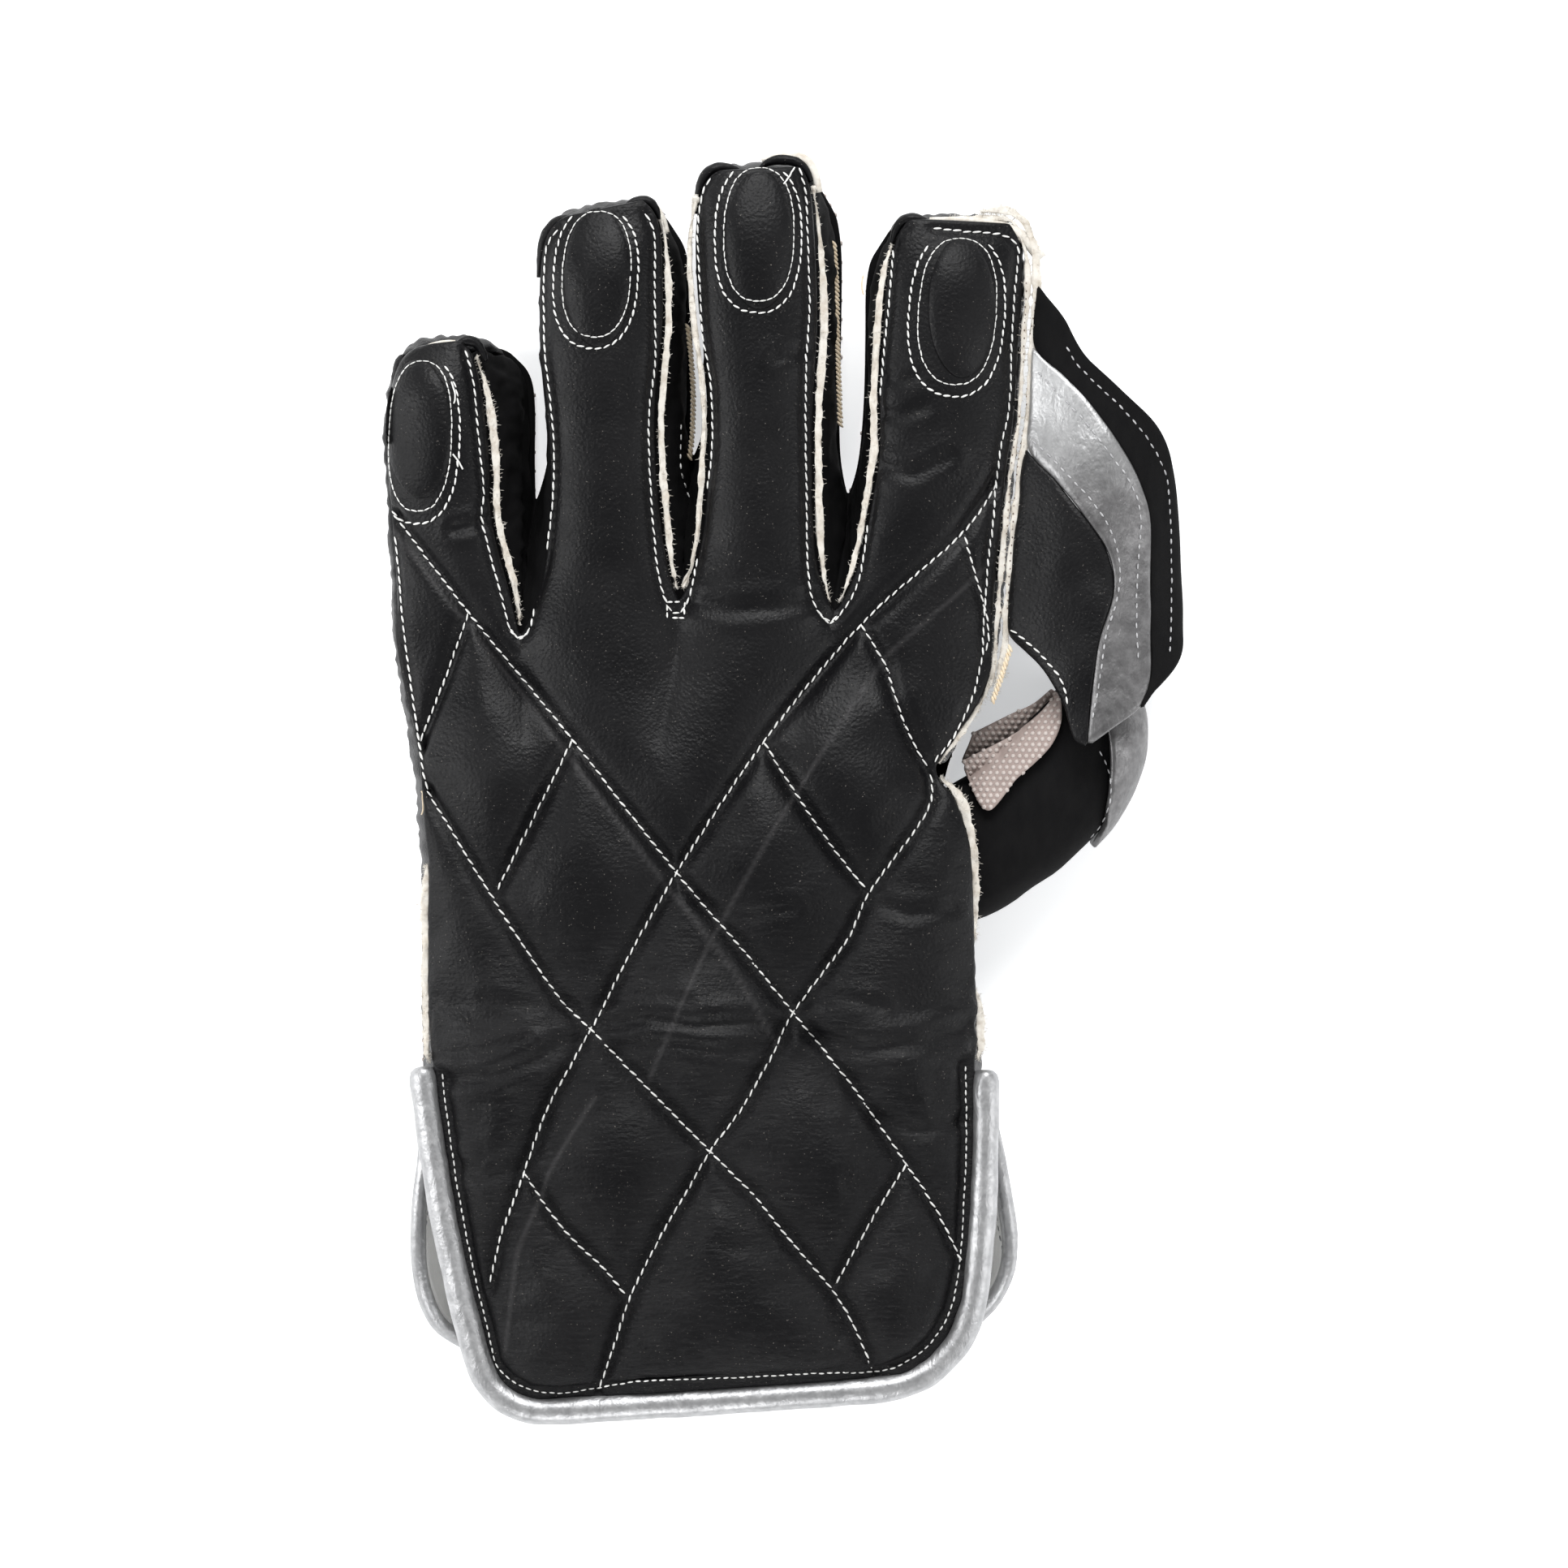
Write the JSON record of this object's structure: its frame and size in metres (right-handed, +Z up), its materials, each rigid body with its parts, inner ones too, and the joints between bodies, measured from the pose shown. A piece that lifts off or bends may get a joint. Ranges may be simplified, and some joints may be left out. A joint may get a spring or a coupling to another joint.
{
  "type": "wicketkeeping glove",
  "caption": "Left-hand wicketkeeping glove with a quilted padded back, rubber-faced palm, webbed thumb and flared, silver-edged cuff.",
  "frame": {"origin": "middle of the flat palm, on the surface that the glove rests on", "axes": "+X from the little finger towards the thumb, +Y from the cuff towards the fingertips, +Z up out of the back of the hand"},
  "size_m": [0.2023, 0.3163, 0.0504],
  "materials": {
    "black_leather": "soft semi-gloss black leather with fine grain",
    "silver_leather": "silver foiled leather with crackled grain",
    "raw_edge": "raw cream flesh side of cut leather, fuzzy",
    "pale_lining": "pale grey smooth lining",
    "pimpled_rubber": "matt pimpled rubber facing, pinkish beige"
  },
  "bodies": {
    "root": {"back_panel": "black_leather", "palm_panel": "pimpled_rubber", "little_finger_patch": "black_leather", "ring_finger_patch": "black_leather", "middle_finger_patch": "black_leather", "index_finger_patch": "black_leather", "fourchette_little_ring": "black_leather", "fourchette_ring_middle": "black_leather", "fourchette_middle_index": "black_leather", "little_fingertip": "black_leather", "ring_fingertip": "black_leather", "middle_fingertip": "black_leather", "index_fingertip": "black_leather", "little_side_wall": "black_leather", "index_side_wall": "black_leather", "heel_side_wall": "black_leather", "little_raw_edge": "raw_edge", "ring_raw_edge": "raw_edge", "middle_raw_edge_left": "raw_edge", "middle_raw_edge_right": "raw_edge", "index_raw_edge_left": "raw_edge", "index_raw_edge_inner": "raw_edge", "index_raw_edge_outer": "raw_edge", "thumb_raw_edge": "raw_edge", "left_raw_edge": "raw_edge", "right_raw_edge": "raw_edge", "cuff_binding": "silver_leather", "palm_cuff": "silver_leather", "palm_cuff_lining": "pale_lining", "palm_cuff_rim": "silver_leather", "thumb_shell": "black_leather", "thumb_cap": "silver_leather", "thumb_rubber_lobe": "pimpled_rubber", "crotch_rubber_band": "pimpled_rubber", "web_inner_panel": "black_leather", "web_silver_band": "silver_leather", "web_outer_band": "black_leather"}
  },
  "joints": []
}
